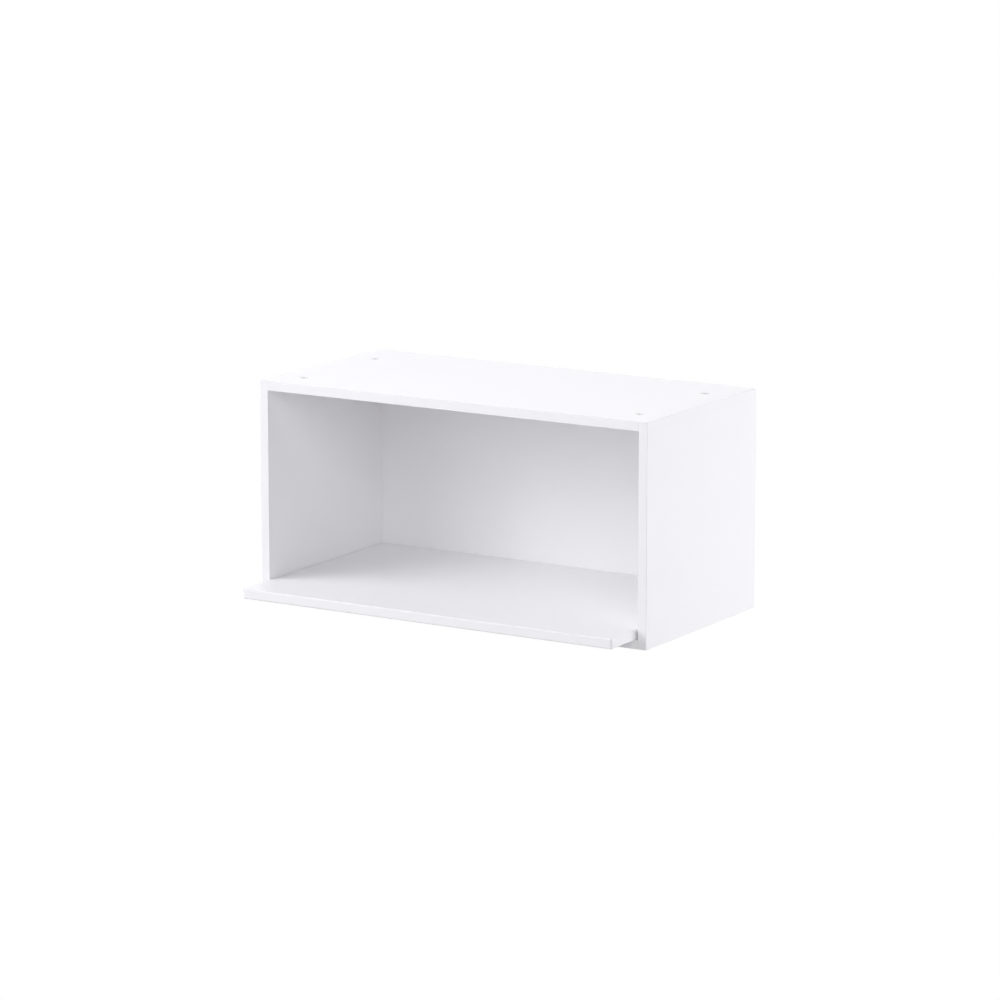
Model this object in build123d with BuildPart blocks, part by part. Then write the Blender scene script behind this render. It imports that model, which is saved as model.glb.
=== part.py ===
from build123d import *
import os

# Microwave wall cabinet: an open, doorless box of white-faced boards.
# A deeper shelf lies on the box's floor and reaches out in front to carry the oven.
# Millimetres, +Z up, front towards -Y. The origin is on the underside, below the cabinet's middle.

# Overall sizes
width = 762.0
height = 381.0
box_depth = 375.0
shelf_reach = 82.0

# Boards
board = 16.0
shelf_board = 18.0
back_board = 4.0
rail_board = 12.0
rail_height = 80.0

# Edge banding on the box and on the shelf
band = 1.0
band_round = 0.7
shelf_band = 3.0
shelf_band_round = 2.5

# Room left around the shelf, which lies nearer the left side, and for the back in its grooves
shelf_left_gap = 0.4
shelf_right_gap = 2.2
shelf_back_gap = 0.5
groove_depth = 8.0
groove_slack = 0.1
groove_end_gap = 1.0

# Cam fittings: where they stand, and how the cam takes the bolt's ball
cam_inset = 34.0
cam_from_front = 61.0
cam_from_back = 90.0
cam_radius = 7.45
cam_clearance = 0.05
cam_sink = 0.3
cam_floor = 0.8
cam_floor_gap = 0.2
cam_turn = 190.0
pocket_offset = 1.1
ball_radius = 3.3
ball_offset = 0.9
ball_slack = 0.1
pocket_slack = 0.2
neck_radius = 1.9
neck_slack = 0.2
mouth_slack = 0.3

# The cam's driver slots and its pointer
slot_length = 8.4
slot_width = 1.5
slot_depth = 2.4
slot_angles = (45.0, 135.0)
pointer_length = 2.0
pointer_width = 2.2
pointer_depth = 0.5
pointer_inset = 0.5

# Cam bolts
thread_radius = 2.5
thread_length = 11.0
thread_height = 0.6
thread_pitch = 2.0
collar_radius = 3.6
collar_length = 1.5
shank_radius = 3.0
shank_to_cam = 0.5
channel_radius = 4.0

# Wooden dowels
dowel_radius = 4.0
dowel_length = 30.0
dowel_step = 32.0
dowel_chamfer = 0.8
rail_dowel_radius = 3.0
rail_dowel_spread = 44.0
side_bore = 11.5
bore_end_gap = 0.5
bore_clearance = 0.05

# Screws that hold the shelf down from below
screw_radius = 2.0
screw_length = 28.0
screw_core = 1.3
screw_pitch = 1.8
screw_tip = 3.0
screw_head_radius = 3.8
screw_head_angle = 90.0
screw_head_sink = 0.3
screw_from_front = 40.0
screw_from_back = 45.0
screw_from_side = 75.0
screw_slot_length = 4.0
screw_slot_width = 0.9
screw_slot_depth = 1.4
screw_slot_angles = (0.0, 90.0)
screw_clearance = 0.3
pilot_end_gap = 0.5

# Holes for the wall screws, through the upper rail and the back
wall_hole_radius = 2.75
wall_hole_pitch = 406.4

# Planes and edges that several pieces share
total_depth = box_depth + shelf_reach
half_width = width / 2
inner_half = half_width - board
y_back = total_depth / 2
y_front = y_back - box_depth
y_board = y_front + band
board_depth = y_back - y_board
y_board_middle = (y_board + y_back) / 2
y_rail = y_back - rail_board
y_back_board = y_rail - groove_slack - back_board
groove_width = back_board + 2 * groove_slack
groove_middle = y_rail - groove_width / 2
back_overlap = groove_depth - groove_end_gap
inner_height = height - 2 * board
top_joint = height - board / 2
bottom_joint = board / 2
shelf_low = board
shelf_width = 2 * inner_half - shelf_left_gap - shelf_right_gap
x_shelf = (shelf_left_gap - shelf_right_gap) / 2
x_shelf_right = x_shelf + shelf_width / 2
y_shelf_front = -total_depth / 2
y_shelf_back = y_back_board - shelf_back_gap
top_rail_middle = height - board - rail_height / 2
bottom_rail_middle = board + rail_height / 2
y_rail_middle = y_back - rail_board / 2

# Places along the depth where the top and the floor meet the sides
cam_rows = {"front": y_front + cam_from_front, "back": y_back - cam_from_back}
dowel_rows = [cam_rows["front"] + dowel_step, cam_rows["back"] - dowel_step]
cam_x = inner_half - cam_inset

# The cam's hollow: a round pocket set off the axis, so its wall is thickest where the ball is locked
pocket_radius = ball_offset + ball_radius + ball_slack + pocket_offset
pocket_half_height = ball_radius + pocket_slack
pocket_depth_middle = board / 2 - cam_sink
cam_height = pocket_depth_middle + pocket_half_height + cam_floor
cam_bore_depth = cam_sink + cam_height + cam_floor_gap

# Dowels stand the same length in the side, and the rest in the board's end
dowel_in_side = side_bore - bore_end_gap
end_bore = dowel_length - dowel_in_side + bore_end_gap

screw_columns = [-(inner_half - screw_from_side), 0.0, inner_half - screw_from_side]
screw_rows = [y_front + screw_from_front, y_back_board - screw_from_back]
screw_places = [(x, y) for x in screw_columns for y in screw_rows]
pilot_depth = screw_length + screw_head_sink - board + pilot_end_gap

os.makedirs("parts", exist_ok=True)


def save(builder, name):
    """Label a finished piece and write it under its name."""
    builder.part.label = name
    export_step(builder.part, f"parts/{name}.step")


def mirrored(builder, plane):
    """The same piece on the other side of a plane."""
    with BuildPart() as other:
        add(mirror(builder.part, about=plane, mode=Mode.PRIVATE))
    return other


# Side panels: bored for cam bolts and dowels, and grooved for the back
with BuildPart() as right_side_panel:
    with BuildSketch(Plane.YZ.offset(inner_half)):
        with Locations((y_board_middle, height / 2)):
            Rectangle(board_depth, height - 2 * band)
    extrude(amount=board)
    with BuildSketch(Plane.YZ.offset(inner_half)):
        with Locations((groove_middle, height / 2)):
            Rectangle(groove_width, inner_height + 2 * groove_depth)
    extrude(amount=groove_depth, mode=Mode.SUBTRACT)
    with BuildSketch(Plane.YZ.offset(inner_half)):
        for joint in (bottom_joint, top_joint):
            with Locations(*[(y, joint) for y in cam_rows.values()]):
                Circle(thread_radius + bore_clearance)
            with Locations(*[(y, joint) for y in dowel_rows]):
                Circle(dowel_radius + bore_clearance)
        for middle in (bottom_rail_middle, top_rail_middle):
            with Locations((y_rail_middle, middle)):
                with GridLocations(0, rail_dowel_spread, 1, 2):
                    Circle(rail_dowel_radius + bore_clearance)
    extrude(amount=side_bore, mode=Mode.SUBTRACT)
left_side_panel = mirrored(right_side_panel, Plane.YZ)
save(right_side_panel, "right_side_panel")
save(left_side_panel, "left_side_panel")

# Top panel: sits between the sides, with its cams let in from above and the bolts' channels in its ends
with BuildPart() as top_panel:
    with BuildSketch(Plane.XY.offset(height - board)):
        with Locations((0, y_board_middle)):
            Rectangle(2 * inner_half, board_depth)
    extrude(amount=board)
    with BuildSketch(Plane.XY.offset(height - board)):
        with Locations((0, groove_middle)):
            Rectangle(2 * inner_half, groove_width)
    extrude(amount=groove_depth, mode=Mode.SUBTRACT)
    with BuildSketch(Plane.XY.offset(height)):
        with Locations(*[(side * cam_x, y) for side in (-1, 1) for y in cam_rows.values()]):
            Circle(cam_radius + cam_clearance)
    extrude(amount=-cam_bore_depth, mode=Mode.SUBTRACT)
    for side in (-1, 1):
        with BuildSketch(Plane.YZ.offset(side * inner_half)):
            with Locations(*[(y, top_joint) for y in cam_rows.values()]):
                Circle(channel_radius)
        extrude(amount=-side * cam_inset, mode=Mode.SUBTRACT)
        with BuildSketch(Plane.YZ.offset(side * inner_half)):
            with Locations(*[(y, top_joint) for y in dowel_rows]):
                Circle(dowel_radius + bore_clearance)
        extrude(amount=-side * end_bore, mode=Mode.SUBTRACT)
save(top_panel, "top_panel")

# Bottom panel: the top turned over, with countersunk holes for the shelf's screws
with BuildPart() as bottom_panel:
    add(mirror(top_panel.part, about=Plane.XY.offset(height / 2), mode=Mode.PRIVATE))
    underside = Plane(origin=(0, 0, 0), x_dir=(1, 0, 0), z_dir=(0, 0, -1))
    with Locations(underside):
        with Locations(*[(x, -y) for x, y in screw_places]):
            CounterSinkHole(
                radius=screw_radius + screw_clearance,
                counter_sink_radius=screw_head_radius + screw_head_sink,
                depth=board,
                counter_sink_angle=screw_head_angle,
            )
save(bottom_panel, "bottom_panel")

# Back: a thin board in the grooves, with the two wall-screw holes
with BuildPart() as back_panel:
    with BuildSketch(Plane.XZ.offset(-y_back_board)):
        with Locations((0, height / 2)):
            Rectangle(2 * (inner_half + back_overlap), inner_height + 2 * back_overlap)
        with Locations((0, top_rail_middle)):
            with GridLocations(wall_hole_pitch, 0, 2, 1):
                Circle(wall_hole_radius, mode=Mode.SUBTRACT)
    extrude(amount=-back_board)
save(back_panel, "back_panel")


def hanging_rail(middle, has_wall_holes):
    """A rail behind the back, between the sides, with dowel bores in both ends."""
    with BuildPart() as rail:
        with BuildSketch(Plane.XZ.offset(-y_rail)):
            with Locations((0, middle)):
                Rectangle(2 * inner_half, rail_height)
                if has_wall_holes:
                    with GridLocations(wall_hole_pitch, 0, 2, 1):
                        Circle(wall_hole_radius, mode=Mode.SUBTRACT)
        extrude(amount=-rail_board)
        for side in (-1, 1):
            with BuildSketch(Plane.YZ.offset(side * inner_half)):
                with Locations((y_rail_middle, middle)):
                    with GridLocations(0, rail_dowel_spread, 1, 2):
                        Circle(rail_dowel_radius + bore_clearance)
            extrude(amount=-side * end_bore, mode=Mode.SUBTRACT)
    return rail


save(hanging_rail(top_rail_middle, True), "top_hanging_rail")
save(hanging_rail(bottom_rail_middle, False), "bottom_hanging_rail")

# Microwave shelf: its core, with blind pilot holes for the screws
with BuildPart() as microwave_shelf:
    shelf_core_front = y_shelf_front + shelf_band
    with BuildSketch(Plane.XY.offset(shelf_low)):
        with Locations((x_shelf, (shelf_core_front + y_shelf_back) / 2)):
            Rectangle(shelf_width - 2 * shelf_band, y_shelf_back - shelf_core_front)
    extrude(amount=shelf_board)
    with BuildSketch(Plane.XY.offset(shelf_low)):
        with Locations(*screw_places):
            Circle(screw_radius + bore_clearance)
    extrude(amount=pilot_depth, mode=Mode.SUBTRACT)
save(microwave_shelf, "microwave_shelf")

# Shelf banding: the front strip covers the ends of the two side strips
with BuildPart() as shelf_front_band:
    with BuildSketch(Plane.XY.offset(shelf_low)):
        with Locations((x_shelf, y_shelf_front + shelf_band / 2)):
            Rectangle(shelf_width, shelf_band)
    extrude(amount=shelf_board)
    fillet(shelf_front_band.faces().sort_by(Axis.Y)[0].edges(), radius=shelf_band_round)
save(shelf_front_band, "shelf_front_band")

with BuildPart() as shelf_right_band:
    with BuildSketch(Plane.YZ.offset(x_shelf_right - shelf_band)):
        with Locations(((y_shelf_front + shelf_band + y_shelf_back) / 2, shelf_low + shelf_board / 2)):
            Rectangle(y_shelf_back - y_shelf_front - shelf_band, shelf_board)
    extrude(amount=shelf_band)
    fillet(
        shelf_right_band.faces().sort_by(Axis.X)[-1].edges().filter_by(Axis.Y),
        radius=shelf_band_round,
    )
save(shelf_right_band, "shelf_right_band")
save(mirrored(shelf_right_band, Plane.YZ.offset(x_shelf)), "shelf_left_band")

# Box banding: strips on the front edges, with the two upright ones full height
with BuildPart() as right_side_band:
    with BuildSketch(Plane.XZ.offset(-y_front)):
        with Locations((inner_half + board / 2, height / 2)):
            Rectangle(board, height)
    extrude(amount=-band)
    fillet(right_side_band.faces().sort_by(Axis.Y)[0].edges(), radius=band_round)
save(right_side_band, "right_side_band")
save(mirrored(right_side_band, Plane.YZ), "left_side_band")

with BuildPart() as top_band:
    with BuildSketch(Plane.XZ.offset(-y_front)):
        with Locations((0, top_joint)):
            Rectangle(2 * inner_half, board)
    extrude(amount=-band)
    fillet(top_band.faces().sort_by(Axis.Y)[0].edges().filter_by(Axis.X), radius=band_round)
save(top_band, "top_band")
save(mirrored(top_band, Plane.XY.offset(height / 2)), "bottom_band")

# Strips on the lower and upper edges of the side panels
with BuildPart() as right_foot_band:
    with BuildSketch(Plane.XY):
        with Locations((inner_half + board / 2, y_board_middle)):
            Rectangle(board, board_depth)
    extrude(amount=band)
    fillet(
        right_foot_band.faces().sort_by(Axis.Z)[0].edges().filter_by(Axis.Y).sort_by(Axis.X)[-1],
        radius=band_round,
    )
save(right_foot_band, "right_foot_band")
left_foot_band = mirrored(right_foot_band, Plane.YZ)
save(left_foot_band, "left_foot_band")
save(mirrored(right_foot_band, Plane.XY.offset(height / 2)), "right_head_band")
save(mirrored(left_foot_band, Plane.XY.offset(height / 2)), "left_head_band")


def cam_block():
    """One cam about +Z with its face at z = 0 and the locked bolt lying along +X.

    Its hollow is round and set off the axis. A slot through the wall follows the bolt's neck from the
    locked place round to the mouth, where the ball can pass.
    """
    neck_gap = neck_radius + neck_slack
    mouth = ball_radius + mouth_slack
    pocket_middle = Plane.XY.offset(-pocket_depth_middle)
    with BuildPart() as cam:
        with BuildSketch(Plane.XY):
            Circle(cam_radius)
        extrude(amount=-cam_height)
        with BuildSketch(pocket_middle):
            with Locations((-pocket_offset, 0)):
                Circle(pocket_radius)
        extrude(amount=pocket_half_height, both=True, mode=Mode.SUBTRACT)
        reach = 2 * cam_radius
        with BuildSketch(pocket_middle):
            with BuildLine():
                sweep_arc = CenterArc((0, 0), reach, -cam_turn, cam_turn)
                Line((0, 0), sweep_arc @ 0)
                Line((0, 0), sweep_arc @ 1)
            make_face()
            for angle in (0, -cam_turn):
                with Locations(Location((0, 0, 0), (0, 0, angle))):
                    Rectangle(reach, 2 * neck_gap, align=(Align.MIN, Align.CENTER))
        extrude(amount=neck_gap, both=True, mode=Mode.SUBTRACT)
        mouth_way = Vector(1, 0, 0).rotate(Axis.Z, -cam_turn)
        with BuildSketch(Plane(origin=(0, 0, -pocket_depth_middle), z_dir=mouth_way)):
            Circle(mouth)
        extrude(amount=reach, mode=Mode.SUBTRACT)
        with BuildSketch(Plane.XY):
            for angle in slot_angles:
                Rectangle(slot_length, slot_width, rotation=angle)
        extrude(amount=-slot_depth, mode=Mode.SUBTRACT)
        with BuildSketch(Plane.XY):
            with Locations(Location((0, 0, 0), (0, 0, -cam_turn))):
                with BuildLine():
                    tip = cam_radius - pointer_inset
                    root = tip - pointer_length
                    Polyline((tip, 0), (root, pointer_width / 2), (root, -pointer_width / 2), close=True)
                make_face()
        extrude(amount=-pointer_depth, mode=Mode.SUBTRACT)
    return cam


# Each cam lies in its bore with the bolt's side towards the nearer side panel
one_cam = cam_block()
cam_faces = {"top": (height - cam_sink, 1), "bottom": (cam_sink, -1)}
for level, (cam_z, up) in cam_faces.items():
    for hand, side in (("left", -1), ("right", 1)):
        for row, cam_y in cam_rows.items():
            seat = Plane(origin=(side * cam_x, cam_y, cam_z), x_dir=(side, 0, 0), z_dir=(0, 0, up))
            with BuildPart() as cam_in_place:
                with Locations(seat):
                    add(one_cam.part)
            save(cam_in_place, f"{level}_{hand}_{row}_cam")


def ridges(start, length, crest, root, pitch):
    """Outline points of a threaded stretch along +X, as full ridges from start."""
    count = int(length / pitch)
    points = []
    for turn in range(count):
        foot = start + turn * pitch
        points += [(foot, root), (foot + pitch / 2, crest)]
    return points + [(start + length, root)]


def bolt_block():
    """One cam bolt along +X: thread below x = 0, then collar, shank, neck and ball."""
    ball_x = cam_inset - ball_offset
    shank_end = cam_inset - cam_radius - shank_to_cam
    ball_start = ball_x - (ball_radius**2 - neck_radius**2) ** 0.5
    with BuildPart() as bolt:
        with BuildSketch(Plane.XY):
            with BuildLine():
                thread = ridges(-thread_length, thread_length, thread_radius, thread_radius - thread_height,
                                thread_pitch)
                outline = Polyline(
                    (-thread_length, 0),
                    *thread,
                    (0, collar_radius),
                    (collar_length, collar_radius),
                    (collar_length, shank_radius),
                    (shank_end, shank_radius),
                    (shank_end, neck_radius),
                    (ball_start, neck_radius),
                )
                ball = ThreePointArc(outline @ 1, (ball_x, ball_radius), (ball_x + ball_radius, 0))
                Line(ball @ 1, outline @ 0)
            make_face()
        revolve(axis=Axis.X)
    return bolt


one_bolt = bolt_block()
for hand, side in (("left", -1), ("right", 1)):
    seats = [
        Plane(origin=(side * inner_half, y, joint), x_dir=(-side, 0, 0), z_dir=(0, 0, 1))
        for joint in (bottom_joint, top_joint)
        for y in cam_rows.values()
    ]
    with BuildPart() as cam_bolts:
        with Locations(*seats):
            add(one_bolt.part)
    save(cam_bolts, f"{hand}_cam_bolts")


def dowels(places, radius):
    """A group of dowels along X, at (y, z) places, that join both side panels to the boards between."""
    start = inner_half + dowel_in_side - dowel_length
    with BuildPart() as group:
        for side in (-1, 1):
            with BuildSketch(Plane.YZ.offset(side * start)):
                with Locations(*places):
                    Circle(radius)
            extrude(amount=side * dowel_length)
        chamfer(group.edges().filter_by(GeomType.CIRCLE), length=dowel_chamfer)
    return group


for level, joint in (("top", top_joint), ("bottom", bottom_joint)):
    save(dowels([(y, joint) for y in dowel_rows], dowel_radius), f"{level}_panel_dowels")
for level, middle in (("top", top_rail_middle), ("bottom", bottom_rail_middle)):
    heights = (middle - rail_dowel_spread / 2, middle + rail_dowel_spread / 2)
    save(dowels([(y_rail_middle, z) for z in heights], rail_dowel_radius), f"{level}_rail_dowels")


def screw_block():
    """One countersunk wood screw along +X with the flat of its head at x = 0."""
    head_length = screw_head_radius - screw_radius
    with BuildPart() as screw:
        with BuildSketch(Plane.XY):
            with BuildLine():
                thread = ridges(
                    head_length + screw_radius,
                    screw_length - screw_tip - head_length - screw_radius,
                    screw_radius,
                    screw_core,
                    screw_pitch,
                )
                Polyline(
                    (0, 0),
                    (0, screw_head_radius),
                    (head_length, screw_radius),
                    (head_length + screw_radius, screw_radius),
                    *thread,
                    (screw_length, 0),
                    close=True,
                )
            make_face()
        revolve(axis=Axis.X)
        with BuildSketch(Plane.YZ):
            for angle in screw_slot_angles:
                Rectangle(screw_slot_length, screw_slot_width, rotation=angle)
        extrude(amount=screw_slot_depth, mode=Mode.SUBTRACT)
    return screw


one_screw = screw_block()
with BuildPart() as shelf_screws:
    screw_seats = [
        Plane(origin=(x, y, screw_head_sink), x_dir=(0, 0, 1), z_dir=(0, 1, 0)) for x, y in screw_places
    ]
    with Locations(*screw_seats):
        add(one_screw.part)
save(shelf_screws, "shelf_screws")
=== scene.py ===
"""Looks of the microwave wall cabinet: white film-faced boards, banded edges, zinc fittings, soft light."""

import math

import bpy
import numpy as np
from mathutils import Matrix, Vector


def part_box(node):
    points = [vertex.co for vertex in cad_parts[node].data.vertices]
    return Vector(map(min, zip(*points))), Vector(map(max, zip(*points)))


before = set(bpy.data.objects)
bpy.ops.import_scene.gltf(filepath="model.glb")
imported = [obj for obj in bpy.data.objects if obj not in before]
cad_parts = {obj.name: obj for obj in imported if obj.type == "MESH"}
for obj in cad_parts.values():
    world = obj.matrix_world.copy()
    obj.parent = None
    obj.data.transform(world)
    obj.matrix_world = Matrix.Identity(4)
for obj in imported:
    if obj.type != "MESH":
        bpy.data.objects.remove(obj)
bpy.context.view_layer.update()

# The camera stands in front of the cabinet, to its right and a little above it
CAMERA_PLACE = (3.9966, -6.5386, 1.7448)
CAMERA_PITCH = 11.4899
CAMERA_TURN = 31.3651
CAMERA_LENS = 165.16
SENSOR = 36.0

# Finishes, as linear colours
PLAIN_WHITE = (1.0, 1.0, 1.0)
MOTTLE_DIM = (0.985, 0.985, 0.988)
FILM_WHITE = (0.911, 0.906, 0.917)
# Painted shade: the same banding, darker where it faces forward
SHADED_BAND_WHITE = (0.792, 0.787, 0.796)
CHIP_PALE = (0.640, 0.470, 0.300)
CHIP_MIDDLE = (0.480, 0.325, 0.190)
CHIP_DARK = (0.250, 0.155, 0.085)
FIBRE_PALE = (0.430, 0.290, 0.175)
FIBRE_DARK = (0.300, 0.190, 0.110)
GLUE = (0.560, 0.520, 0.440)
ZINC_BRIGHT = (0.690, 0.690, 0.696)
ZINC_DULL = (0.515, 0.515, 0.525)
# Painted shade: the near-black that the cams' slots darken to with depth
SLOT_SHADE = (0.120, 0.118, 0.115)
PLATE_BRIGHT = (0.700, 0.690, 0.650)
PLATE_DULL = (0.560, 0.560, 0.540)
BEECH_PALE = (0.620, 0.430, 0.260)
BEECH_DARK = (0.420, 0.260, 0.140)

# The two kinds of banding: its white, and the range of roughness that it adds to the film's. The
# front-facing bands get a darker white than the other bands, as painted shade
SHADED_FRONT_BAND = (SHADED_BAND_WHITE, (0.16, 0.28))
FILM_BAND = (FILM_WHITE, (-0.04, 0.06))

# How thick the film is on a cut edge, and how wide the glue line under a band is, in metres
FILM_THICK = 0.00015
GLUE_WIDE = 0.00012

# How fine each pattern is, in features to the metre
MOTTLE_SCALE = 9.0
PEARL_SCALE = 900.0
WAVE_SCALE = 35.0
SCUFF_SCALE = (40.0, 260.0, 40.0)
FLAKE_SCALE = 330.0
DUST_SCALE = 1300.0
PIT_SCALE = 420.0
DUST_CLOUD_SCALE = 90.0
FIBRE_CLOUD_SCALE = 14.0
FIBRE_SCALE = 1400.0
FIBRE_FLECK_SCALE = 600.0
METAL_CLOUD_SCALE = 260.0
METAL_SPECK_SCALE = 2600.0
SCRAPE_SCALE = 60.0
BEECH_GRAIN_SCALE = 900.0
BEECH_FLECK_SCALE = 2600.0

# How flakes, fibres and beech grain are turned (in radians) and stretched
FLAKE_TURN = (0.3, 0.5, 0.4)
FLAKE_STRETCH = (1.0, 0.55, 1.5)
FIBRE_STRETCH = (1.0, 1.0, 0.35)
BEECH_STRETCH = (0.06, 1.0, 1.0)

# Where flakes turn dark, where the board's fine skin begins (0 middle, 1 face), and where pits and
# flecks set in
DARK_FLAKE = 0.82
SKIN_BEGINS = 0.62
PIT_RANGE = (0.60, 0.68)
FIBRE_FLECK_RANGE = (0.62, 0.70)
BEECH_FLECK_RANGE = (0.64, 0.72)

# Roughness, from its lowest to its highest, and what scuffs and slots add to it
PEARL_ROUGH = (0.34, 0.42)
SCUFF_ADDS = (-0.02, 0.05)
CHIP_ROUGH = (0.82, 0.95)
FIBRE_ROUGH = (0.62, 0.82)
BEECH_ROUGH = (0.55, 0.72)
PLATE_ROUGHEST = 0.40
CAST_ROUGHEST = 0.50
METAL_POLISH = 0.16
SLOT_ADDS = 0.2

# Relief, in metres
PEARL_HIGH = 0.000004
WAVE_HIGH = 0.00004
FLAKE_HIGH = 0.00022
PIT_DEEP = 0.00035
FIBRE_HIGH = 0.00002
GLUE_DEEP = 0.00002
BEECH_HIGH = 0.00004
PLATE_GRIT = 0.000004
CAST_GRIT = 0.000012

# How strong the waves in the gloss are on boards, on the fibreboard's film and on bands
BOARD_WAVES = 1.0
FIBRE_WAVES = 1.6
BAND_WAVES = 0.5

# How much of the glue line shows, where it is scraped most and where least
GLUE_SHOWS = (0.4, 1.0)

# How far below a cam's face the painted slot shade begins, and where it is full, in metres
SLOT_SHADE_FROM = 0.0001
SLOT_SHADE_FULL = 0.0009

# The floor is as far below the cabinet as on a kitchen wall
FLOOR_DROP = 1.37
FLOOR_RADIUS = 30.0
FLOOR_NEAR = 0.9
FLOOR_FAR = 2.0
FLOOR_WHITE = (0.705, 0.700, 0.690)
FLOOR_ROUGH = 0.9
FLOOR_RINGS = 24
FLOOR_SPOKES = 96

# The slightly cool white of the lamps and of the room, and how much room light reaches matt surfaces
LIGHT_COLOUR = (0.972, 0.972, 1.0)
ROOM_LIGHT = 0.175

# The point that every softbox faces
LIT_POINT = (0.0, 0.0, 0.2)

# Softboxes: degrees from the front to the left, degrees up, distance and side in metres, power in watts
SOFTBOXES = {
    "front": (38.0, 25.0, 5.0, 3.4, 95.0),
    "left": (56.0, 29.0, 5.0, 3.4, 147.0),
    "front_right": (-35.0, 23.0, 5.0, 2.8, 82.0),
    "low": (-15.0, -2.0, 5.0, 2.0, 11.0),
    "right": (-113.0, 1.0, 2.0, 1.5, 19.6),
    "overhead": (0.0, 89.0, 4.0, 3.0, 22.0),
    "back_left": (155.0, 25.0, 5.0, 3.0, 24.0),
    "back_right": (-155.0, 25.0, 5.0, 3.0, 10.0),
}

# Softboxes that don't mirror in film or metal, so that the top keeps its tone when it is seen from behind
UNMIRRORED = ("front", "left", "front_right")


def made(tree, kind, settings=(), **inputs):
    """A shader node with its settings, each input given a number, a colour or another node's output."""
    node = tree.nodes.new(kind)
    for name, value in dict(settings).items():
        setattr(node, name, value)
    for name, value in inputs.items():
        socket = node.inputs[name.replace("_", " ")]
        if isinstance(value, bpy.types.NodeSocket):
            tree.links.new(value, socket)
        elif isinstance(value, tuple) and socket.type == "RGBA":
            socket.default_value = (*value, 1.0)
        else:
            socket.default_value = value
    return node


def sum_of(tree, operation, *operands):
    """The output of a Math node with these numbers or outputs as its operands."""
    node = tree.nodes.new("ShaderNodeMath")
    node.operation = operation
    for socket, operand in zip(node.inputs, operands):
        if isinstance(operand, bpy.types.NodeSocket):
            tree.links.new(operand, socket)
        else:
            socket.default_value = operand
    return node.outputs["Value"]


def between(tree, amount, low, high):
    """A number from low to high, as amount goes from 0 to 1."""
    return made(tree, "ShaderNodeMapRange", Value=amount, To_Min=low, To_Max=high).outputs["Result"]


def within(tree, amount, limits):
    """0 below the first limit, 1 above the second, and even steps between them."""
    low, high = limits
    return made(tree, "ShaderNodeMapRange", Value=amount, From_Min=low, From_Max=high).outputs["Result"]


def mixed(tree, amount, first, second):
    """A number that goes from first to second as amount goes from 0 to 1."""
    node = made(tree, "ShaderNodeMix", {"data_type": "FLOAT"}, Factor=amount)
    numbers = [s for s in node.inputs if s.name in "AB" and s.type == "VALUE"]
    tree.links.new(first, numbers[0])
    tree.links.new(second, numbers[1])
    return node.outputs["Result"]


def mapped(tree, where, **settings):
    """The place where, moved, turned or stretched by a Mapping node."""
    return made(tree, "ShaderNodeMapping", Vector=where, **settings).outputs["Vector"]


def tint(tree, amount, first, second):
    """A colour that goes from first to second as amount goes from 0 to 1."""
    node = tree.nodes.new("ShaderNodeMix")
    node.data_type = "RGBA"
    tree.links.new(amount, node.inputs["Factor"])
    for letter, colour in (("A", first), ("B", second)):
        socket = next(s for s in node.inputs if s.name == letter and s.type == "RGBA")
        if isinstance(colour, bpy.types.NodeSocket):
            tree.links.new(colour, socket)
        else:
            socket.default_value = (*colour, 1.0)
    return next(s for s in node.outputs if s.type == "RGBA")


def grain(tree, where, scale, detail=2.0):
    """Noise between 0 and 1 with features of 1 / scale metres."""
    return made(tree, "ShaderNodeTexNoise", Vector=where, Scale=scale, Detail=detail).outputs["Fac"]


def flakes_of(tree, where, scale):
    """Cells of random size and colour, about 1 / scale metres across."""
    return made(tree, "ShaderNodeTexVoronoi", Vector=where, Scale=scale, Randomness=1.0).outputs


def new_group(name, inputs, outputs):
    """An empty node group with named sockets: the group, its inputs and its output node."""
    tree = bpy.data.node_groups.new(name, "ShaderNodeTree")
    for socket, kind in inputs:
        tree.interface.new_socket(socket, in_out="INPUT", socket_type=kind)
    for socket, kind in outputs:
        tree.interface.new_socket(socket, in_out="OUTPUT", socket_type=kind)
    return tree, tree.nodes.new("NodeGroupInput").outputs, tree.nodes.new("NodeGroupOutput")


def placed(tree, group, **inputs):
    """The outputs of a node group placed in a material, with its inputs given."""
    node = tree.nodes.new("ShaderNodeGroup")
    node.node_tree = group
    for name, value in inputs.items():
        socket = node.inputs[name.replace("_", " ")]
        if isinstance(value, bpy.types.NodeSocket):
            tree.links.new(value, socket)
        elif isinstance(value, tuple):
            socket.default_value = (*value, 1.0)
        else:
            socket.default_value = value
    return node.outputs


SURFACE = [
    ("Colour", "NodeSocketColor"),
    ("Roughness", "NodeSocketFloat"),
    ("Height", "NodeSocketFloat"),
]


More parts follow.
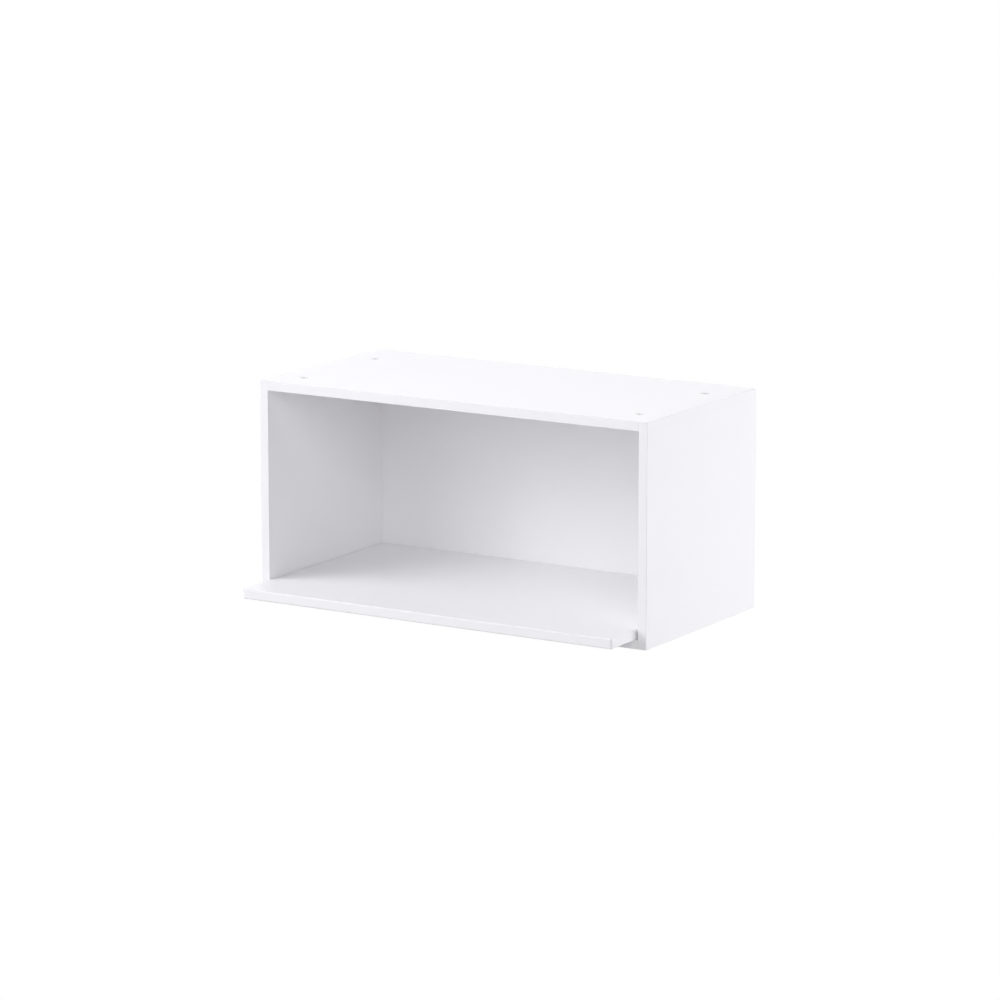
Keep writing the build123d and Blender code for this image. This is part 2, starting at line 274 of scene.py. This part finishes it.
def film_group():
    """Melamine film: faint pearl texture about 1 mm across, slow waves in the gloss, the faintest mottle."""
    tree, given, out = new_group(
        "melamine_film",
        [
            ("Where", "NodeSocketVector"),
            ("White", "NodeSocketColor"),
            ("Gloss waves", "NodeSocketFloat"),
        ],
        SURFACE,
    )
    where = given["Where"]
    mottle = grain(tree, where, MOTTLE_SCALE)
    pearl = grain(tree, where, PEARL_SCALE, detail=1.0)
    wave = grain(tree, where, WAVE_SCALE, detail=1.0)
    scuff = grain(tree, mapped(tree, where, Scale=SCUFF_SCALE), scale=1.0, detail=4.0)
    dimmer = made(tree, "ShaderNodeMix", {"data_type": "RGBA", "blend_type": "MULTIPLY"})
    dimmer.inputs["Factor"].default_value = 1.0
    sides = [s for s in dimmer.inputs if s.type == "RGBA"]
    tree.links.new(given["White"], sides[0])
    tree.links.new(tint(tree, mottle, MOTTLE_DIM, PLAIN_WHITE), sides[1])
    rough = sum_of(tree, "ADD", between(tree, pearl, *PEARL_ROUGH), between(tree, scuff, *SCUFF_ADDS))
    waves = sum_of(tree, "MULTIPLY", between(tree, wave, 0.0, WAVE_HIGH), given["Gloss waves"])
    height = sum_of(tree, "ADD", between(tree, pearl, 0.0, PEARL_HIGH), waves)
    tree.links.new(next(s for s in dimmer.outputs if s.type == "RGBA"), out.inputs["Colour"])
    tree.links.new(rough, out.inputs["Roughness"])
    tree.links.new(height, out.inputs["Height"])
    return tree


def chipboard_group():
    """Cut chipboard: coarse flakes in the board's middle, fine dust near its faces, small dark pits."""
    tree, given, out = new_group(
        "chipboard", [("Where", "NodeSocketVector"), ("Off middle", "NodeSocketFloat")], SURFACE
    )
    where = given["Where"]
    bent = mapped(tree, where, Rotation=FLAKE_TURN, Scale=FLAKE_STRETCH)
    coarse = flakes_of(tree, bent, FLAKE_SCALE)
    fine = flakes_of(tree, where, DUST_SCALE)
    pits = grain(tree, where, PIT_SCALE, detail=3.0)
    skin = sum_of(tree, "GREATER_THAN", given["Off middle"], SKIN_BEGINS)
    shade = []
    for flakes in (coarse, fine):
        split = made(tree, "ShaderNodeSeparateColor", Color=flakes["Color"]).outputs
        pale = tint(tree, split["Red"], CHIP_MIDDLE, CHIP_PALE)
        dark = sum_of(tree, "GREATER_THAN", split["Green"], DARK_FLAKE)
        shade.append(tint(tree, dark, pale, CHIP_DARK))
    dust = tint(tree, grain(tree, where, DUST_CLOUD_SCALE), shade[1], CHIP_PALE)
    body = tint(tree, skin, shade[0], dust)
    pit = sum_of(tree, "MULTIPLY", within(tree, pits, PIT_RANGE), sum_of(tree, "SUBTRACT", 1.0, skin))
    tree.links.new(tint(tree, pit, body, CHIP_DARK), out.inputs["Colour"])
    tree.links.new(between(tree, pits, *CHIP_ROUGH), out.inputs["Roughness"])
    height = sum_of(tree, "MULTIPLY", coarse["Distance"], FLAKE_HIGH)
    height = sum_of(tree, "SUBTRACT", height, sum_of(tree, "MULTIPLY", pit, PIT_DEEP))
    tree.links.new(height, out.inputs["Height"])
    return tree


def film_mask_group():
    """1 on a board's two faces and on the film's thin edge, 0 on the board's core."""
    tree, given, out = new_group(
        "film_mask",
        [(n, "NodeSocketFloat") for n in ("Across", "Low", "High")],
        [("Film", "NodeSocketFloat"), ("Off middle", "NodeSocketFloat")],
    )
    across, low, high = given["Across"], given["Low"], given["High"]
    low_side = sum_of(tree, "LESS_THAN", across, sum_of(tree, "ADD", low, FILM_THICK))
    high_side = sum_of(tree, "GREATER_THAN", across, sum_of(tree, "SUBTRACT", high, FILM_THICK))
    tree.links.new(sum_of(tree, "MAXIMUM", low_side, high_side), out.inputs["Film"])
    middle = sum_of(tree, "MULTIPLY", sum_of(tree, "ADD", low, high), 0.5)
    half = sum_of(tree, "MULTIPLY", sum_of(tree, "SUBTRACT", high, low), 0.5)
    off_middle = sum_of(tree, "ABSOLUTE", sum_of(tree, "SUBTRACT", across, middle))
    tree.links.new(sum_of(tree, "DIVIDE", off_middle, half), out.inputs["Off middle"])
    return tree


def metal_group():
    """Worn metal: soft clouds of two greys, duller where it is darker, and fine grit."""
    tree, given, out = new_group(
        "worn_metal",
        [
            ("Where", "NodeSocketVector"),
            ("Bright", "NodeSocketColor"),
            ("Dull", "NodeSocketColor"),
            ("Roughest", "NodeSocketFloat"),
            ("Grit", "NodeSocketFloat"),
        ],
        SURFACE,
    )
    cloud = grain(tree, given["Where"], METAL_CLOUD_SCALE, detail=4.0)
    speck = grain(tree, given["Where"], METAL_SPECK_SCALE, detail=3.0)
    worn = sum_of(tree, "MULTIPLY", sum_of(tree, "ADD", cloud, speck), 0.5)
    rough = sum_of(tree, "SUBTRACT", given["Roughest"], between(tree, cloud, 0.0, METAL_POLISH))
    tree.links.new(tint(tree, worn, given["Dull"], given["Bright"]), out.inputs["Colour"])
    tree.links.new(rough, out.inputs["Roughness"])
    tree.links.new(sum_of(tree, "MULTIPLY", speck, given["Grit"]), out.inputs["Height"])
    return tree


# How chipboard's flakes are turned in a board whose thickness lies along each axis
CORE_TURNS = {
    "X": (0.0, 0.0, 0.0),
    "Y": (0.0, 0.0, math.pi / 2),
    "Z": (0.0, math.pi / 2, 0.0),
}

FILM = film_group()
CHIPBOARD = chipboard_group()
FILM_MASK = film_mask_group()
METAL = metal_group()


def new_material(name):
    """An empty material: its tree, object coordinates, and the same split into X, Y and Z."""
    material = bpy.data.materials.new(name)
    material.use_nodes = True
    material.node_tree.nodes.clear()
    tree = material.node_tree
    where = made(tree, "ShaderNodeTexCoord").outputs["Object"]
    axes = made(tree, "ShaderNodeSeparateXYZ", Vector=where).outputs
    return material, tree, where, axes


def finish_surface(tree, colour, roughness, height, metallic=0.0):
    """Principled surface with relief: height is in metres above the modelled surface."""
    relief = made(tree, "ShaderNodeBump", Strength=1.0, Distance=1.0, Height=height).outputs["Normal"]
    shader = made(
        tree,
        "ShaderNodeBsdfPrincipled",
        Base_Color=colour,
        Roughness=roughness,
        Metallic=metallic,
        Normal=relief,
    )
    made(tree, "ShaderNodeOutputMaterial", Surface=shader.outputs["BSDF"])


def board_material(name, axis, low, high):
    """White film on the board's faces, square to axis at low and high, with chipboard between them."""
    material, tree, where, axes = new_material(name)
    film = placed(tree, FILM, Where=where, White=FILM_WHITE, Gloss_waves=BOARD_WAVES)
    turned = mapped(tree, where, Rotation=CORE_TURNS[axis])
    mask = placed(tree, FILM_MASK, Across=axes[axis], Low=low, High=high)
    core = placed(tree, CHIPBOARD, Where=turned, Off_middle=mask["Off middle"])
    colour = tint(tree, mask["Film"], core["Colour"], film["Colour"])
    rough, height = (mixed(tree, mask["Film"], core[part], film[part]) for part in ("Roughness", "Height"))
    finish_surface(tree, colour, rough, height)
    return material


def fibre_material(name, face):
    """Thin fibreboard: white film on its front, at y = face, and raw brown fibre behind and at its edges."""
    material, tree, where, axes = new_material(name)
    film = placed(tree, FILM, Where=where, White=FILM_WHITE, Gloss_waves=FIBRE_WAVES)
    on_front = sum_of(tree, "LESS_THAN", axes["Y"], face + FILM_THICK)
    stretched = mapped(tree, where, Scale=FIBRE_STRETCH)
    cloud = grain(tree, where, FIBRE_CLOUD_SCALE, detail=3.0)
    fibres = grain(tree, stretched, FIBRE_SCALE, detail=4.0)
    flecks = within(tree, grain(tree, stretched, FIBRE_FLECK_SCALE), FIBRE_FLECK_RANGE)
    shade = sum_of(tree, "MULTIPLY", sum_of(tree, "ADD", cloud, fibres), 0.5)
    raw = tint(tree, flecks, tint(tree, shade, FIBRE_DARK, FIBRE_PALE), FIBRE_DARK)
    rough = mixed(tree, on_front, between(tree, fibres, *FIBRE_ROUGH), film["Roughness"])
    height = mixed(tree, on_front, between(tree, fibres, 0.0, FIBRE_HIGH), film["Height"])
    finish_surface(tree, tint(tree, on_front, raw, film["Colour"]), rough, height)
    return material


def band_material(name, axis, joint, white, rougher):
    """Satin edge banding with a glue line at joint along axis, rougher than film by this range."""
    material, tree, where, axes = new_material(name)
    film = placed(tree, FILM, Where=where, White=white, Gloss_waves=BAND_WAVES)
    off_joint = sum_of(tree, "ABSOLUTE", sum_of(tree, "SUBTRACT", axes[axis], joint))
    scraped = grain(tree, where, SCRAPE_SCALE, detail=4.0)
    glue = sum_of(tree, "LESS_THAN", off_joint, GLUE_WIDE)
    glue = sum_of(tree, "MULTIPLY", glue, between(tree, scraped, *GLUE_SHOWS))
    rough = sum_of(tree, "ADD", film["Roughness"], between(tree, scraped, *rougher))
    height = sum_of(tree, "SUBTRACT", film["Height"], sum_of(tree, "MULTIPLY", glue, GLUE_DEEP))
    finish_surface(tree, tint(tree, glue, film["Colour"], GLUE), rough, height)
    return material


def metal_on(tree, where, bright, dull, roughest, grit):
    """The worn metal group's outputs with this metal's greys, roughness and grit."""
    return placed(tree, METAL, Where=where, Bright=bright, Dull=dull, Roughest=roughest, Grit=grit)


def plated_material(name):
    """Zinc-plated steel, for bolts and screws."""
    material, tree, where, _ = new_material(name)
    metal = metal_on(tree, where, PLATE_BRIGHT, PLATE_DULL, PLATE_ROUGHEST, PLATE_GRIT)
    finish_surface(tree, metal["Colour"], metal["Roughness"], metal["Height"], metallic=1.0)
    return material


def cam_material(name, face, up):
    """Cast zinc: a tumbled face at z = face that points up (1) or down (-1), and painted shade that darkens
    its slots with depth.
    """
    material, tree, where, axes = new_material(name)
    metal = metal_on(tree, where, ZINC_BRIGHT, ZINC_DULL, CAST_ROUGHEST, CAST_GRIT)
    depth = sum_of(tree, "MULTIPLY", sum_of(tree, "SUBTRACT", face, axes["Z"]), up)
    sunk = within(tree, depth, (SLOT_SHADE_FROM, SLOT_SHADE_FULL))
    rough = sum_of(tree, "ADD", metal["Roughness"], between(tree, sunk, 0.0, SLOT_ADDS))
    # Painted shade: the metal's colour darkens towards near-black with depth in the slots
    colour = tint(tree, sunk, metal["Colour"], SLOT_SHADE)
    finish_surface(tree, colour, rough, metal["Height"], metallic=1.0)
    return material


def beech_material(name):
    """Turned beech: fine grain along X and short dark flecks."""
    material, tree, where, _ = new_material(name)
    along = mapped(tree, where, Scale=BEECH_STRETCH)
    rings = grain(tree, along, BEECH_GRAIN_SCALE, detail=4.0)
    fleck = within(tree, grain(tree, along, BEECH_FLECK_SCALE, detail=1.0), BEECH_FLECK_RANGE)
    colour = tint(tree, fleck, tint(tree, rings, BEECH_DARK, BEECH_PALE), BEECH_DARK)
    rough, height = between(tree, rings, *BEECH_ROUGH), between(tree, rings, 0.0, BEECH_HIGH)
    finish_surface(tree, colour, rough, height)
    return material


def dress(material, *names):
    """Puts one material on these nodes, in place of the plain one."""
    for name in names:
        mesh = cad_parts[name].data
        mesh.materials.clear()
        mesh.materials.append(material)


def edge(name, side, axis):
    """Where a node's lowest (0) or highest (1) side lies along an axis, in metres."""
    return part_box(name)[side]["XYZ".index(axis)]


# Boards, each with its faces square to its own thickness
for board_name, axis in (
    ("left_side_panel", "X"),
    ("right_side_panel", "X"),
    ("top_panel", "Z"),
    ("bottom_panel", "Z"),
    ("microwave_shelf", "Z"),
    ("top_hanging_rail", "Y"),
    ("bottom_hanging_rail", "Y"),
):
    low, high = edge(board_name, 0, axis), edge(board_name, 1, axis)
    dress(board_material(f"film_on_{board_name}", axis, low, high), board_name)
dress(fibre_material("film_on_fibreboard", edge("back_panel", 0, "Y")), "back_panel")

# Bands, each with its glue line on the side where the board is. The front-facing ones are painted a darker
# white than film, as painted shade
for band_name, joint_side, axis, finish in (
    ("left_side_band", 1, "Y", SHADED_FRONT_BAND),
    ("right_side_band", 1, "Y", SHADED_FRONT_BAND),
    ("top_band", 1, "Y", SHADED_FRONT_BAND),
    ("bottom_band", 1, "Y", SHADED_FRONT_BAND),
    ("shelf_front_band", 1, "Y", SHADED_FRONT_BAND),
    ("shelf_left_band", 1, "X", FILM_BAND),
    ("shelf_right_band", 0, "X", FILM_BAND),
    ("left_foot_band", 1, "Z", FILM_BAND),
    ("right_foot_band", 1, "Z", FILM_BAND),
    ("left_head_band", 0, "Z", FILM_BAND),
    ("right_head_band", 0, "Z", FILM_BAND),
):
    joint = edge(band_name, joint_side, axis)
    dress(band_material(f"banding_{band_name}", axis, joint, *finish), band_name)

# Fittings
for level, face_side, up in (("top", 1, 1.0), ("bottom", 0, -1.0)):
    cams = [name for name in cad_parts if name.startswith(level) and name.endswith("_cam")]
    dress(cam_material(f"cast_zinc_{level}", edge(cams[0], face_side, "Z"), up), *cams)
dress(plated_material("zinc_plate"), "left_cam_bolts", "right_cam_bolts", "shelf_screws")
dress(
    beech_material("beech"),
    "top_panel_dowels",
    "bottom_panel_dowels",
    "top_rail_dowels",
    "bottom_rail_dowels",
)


def floor_disc():
    """A flat disc: point (r, t) lies at (r cos t, r sin t), with rings that widen towards the rim."""
    radius = FLOOR_RADIUS * np.linspace(0.0, 1.0, FLOOR_RINGS + 1)[1:] ** 2
    turn = np.linspace(0.0, 2.0 * np.pi, FLOOR_SPOKES, endpoint=False)
    r, t = np.meshgrid(radius, turn, indexing="ij")
    ring_points = np.stack([r * np.cos(t), r * np.sin(t), np.full_like(r, -FLOOR_DROP)], axis=-1)
    points = np.vstack([[[0.0, 0.0, -FLOOR_DROP]], ring_points.reshape(-1, 3)])
    here = np.arange(FLOOR_SPOKES)
    after = (here + 1) % FLOOR_SPOKES
    hub = np.stack([np.zeros(FLOOR_SPOKES, int), 1 + here, 1 + after], axis=-1)
    start = 1 + FLOOR_SPOKES * np.arange(FLOOR_RINGS - 1)[:, None]
    outer = start + FLOOR_SPOKES
    quads = np.stack([start + here, outer + here, outer + after, start + after], axis=-1)
    mesh = bpy.data.meshes.new("floor")
    mesh.from_pydata(points.tolist(), [], hub.tolist() + quads.reshape(-1, 4).tolist())
    disc = bpy.data.objects.new("floor", mesh)
    bpy.context.scene.collection.objects.link(disc)
    return disc


def seen_directly(tree):
    """1 for camera, glossy and transmission rays, 0 for the rays that light matt surfaces."""
    path = made(tree, "ShaderNodeLightPath").outputs
    seen = sum_of(tree, "MAXIMUM", path["Is Camera Ray"], path["Is Glossy Ray"])
    return sum_of(tree, "MAXIMUM", seen, path["Is Transmission Ray"]), path["Is Camera Ray"]


def floor_material():
    """Matt white that keeps shadows near the cabinet, plain white further off, and open from below."""
    material, tree, where, axes = new_material("studio_floor")
    flat = made(tree, "ShaderNodeCombineXYZ", X=axes["X"], Y=axes["Y"]).outputs["Vector"]
    away = made(tree, "ShaderNodeVectorMath", {"operation": "LENGTH"}, Vector=flat).outputs["Value"]
    far = made(
        tree,
        "ShaderNodeMapRange",
        {"interpolation_type": "SMOOTHSTEP"},
        Value=away,
        From_Min=FLOOR_NEAR,
        From_Max=FLOOR_FAR,
    ).outputs["Result"]
    seen, camera_ray = seen_directly(tree)
    matt = made(tree, "ShaderNodeBsdfPrincipled", Base_Color=FLOOR_WHITE, Roughness=FLOOR_ROUGH)
    plain = made(tree, "ShaderNodeEmission", Color=PLAIN_WHITE, Strength=1.0)
    top = made(tree, "ShaderNodeMixShader", Fac=sum_of(tree, "MULTIPLY", far, seen))
    tree.links.new(matt.outputs["BSDF"], top.inputs[1])
    tree.links.new(plain.outputs["Emission"], top.inputs[2])
    backfacing = made(tree, "ShaderNodeNewGeometry").outputs["Backfacing"]
    whole = made(tree, "ShaderNodeMixShader", Fac=sum_of(tree, "MULTIPLY", backfacing, camera_ray))
    tree.links.new(top.outputs["Shader"], whole.inputs[1])
    tree.links.new(made(tree, "ShaderNodeBsdfTransparent").outputs["BSDF"], whole.inputs[2])
    made(tree, "ShaderNodeOutputMaterial", Surface=whole.outputs["Shader"])
    return material


floor = floor_disc()
floor.data.materials.append(floor_material())


def light_world():
    """A world that is plain white where it is seen, and gives matt surfaces ROOM_LIGHT of it."""
    world = bpy.data.worlds.new("studio_world")
    world.use_nodes = True
    tree = world.node_tree
    tree.nodes.clear()
    seen, _ = seen_directly(tree)
    room = made(tree, "ShaderNodeBackground", Color=LIGHT_COLOUR, Strength=ROOM_LIGHT)
    backdrop = made(tree, "ShaderNodeBackground", Color=PLAIN_WHITE, Strength=1.0)
    either = made(tree, "ShaderNodeMixShader", Fac=seen)
    tree.links.new(room.outputs["Background"], either.inputs[1])
    tree.links.new(backdrop.outputs["Background"], either.inputs[2])
    made(tree, "ShaderNodeOutputWorld", Surface=either.outputs["Shader"])
    bpy.context.scene.world = world


def softbox(name, turn, up, away, side, power):
    """A square area lamp that faces the cabinet's middle from this direction and distance."""
    turn, up = math.radians(turn), math.radians(up)
    towards = Vector((-math.sin(turn) * math.cos(up), -math.cos(turn) * math.cos(up), math.sin(up)))
    lamp = bpy.data.lights.new(name, "AREA")
    lamp.shape = "SQUARE"
    lamp.size = side
    lamp.energy = power
    lamp.color = LIGHT_COLOUR
    holder = bpy.data.objects.new(name, lamp)
    holder.location = Vector(LIT_POINT) + towards * away
    holder.rotation_euler = towards.to_track_quat("Z", "Y").to_euler()
    holder.visible_camera = False
    holder.visible_glossy = name not in UNMIRRORED
    bpy.context.scene.collection.objects.link(holder)


light_world()
for box_name, setting in SOFTBOXES.items():
    softbox(box_name, *setting)

camera = bpy.data.objects.new("camera", bpy.data.cameras.new("camera"))
camera.location = CAMERA_PLACE
camera.rotation_euler = (math.radians(90.0 - CAMERA_PITCH), 0.0, math.radians(CAMERA_TURN))
camera.data.lens = CAMERA_LENS
camera.data.sensor_width = SENSOR
bpy.context.scene.collection.objects.link(camera)
bpy.context.scene.camera = camera
bpy.context.scene.view_settings.view_transform = "Standard"
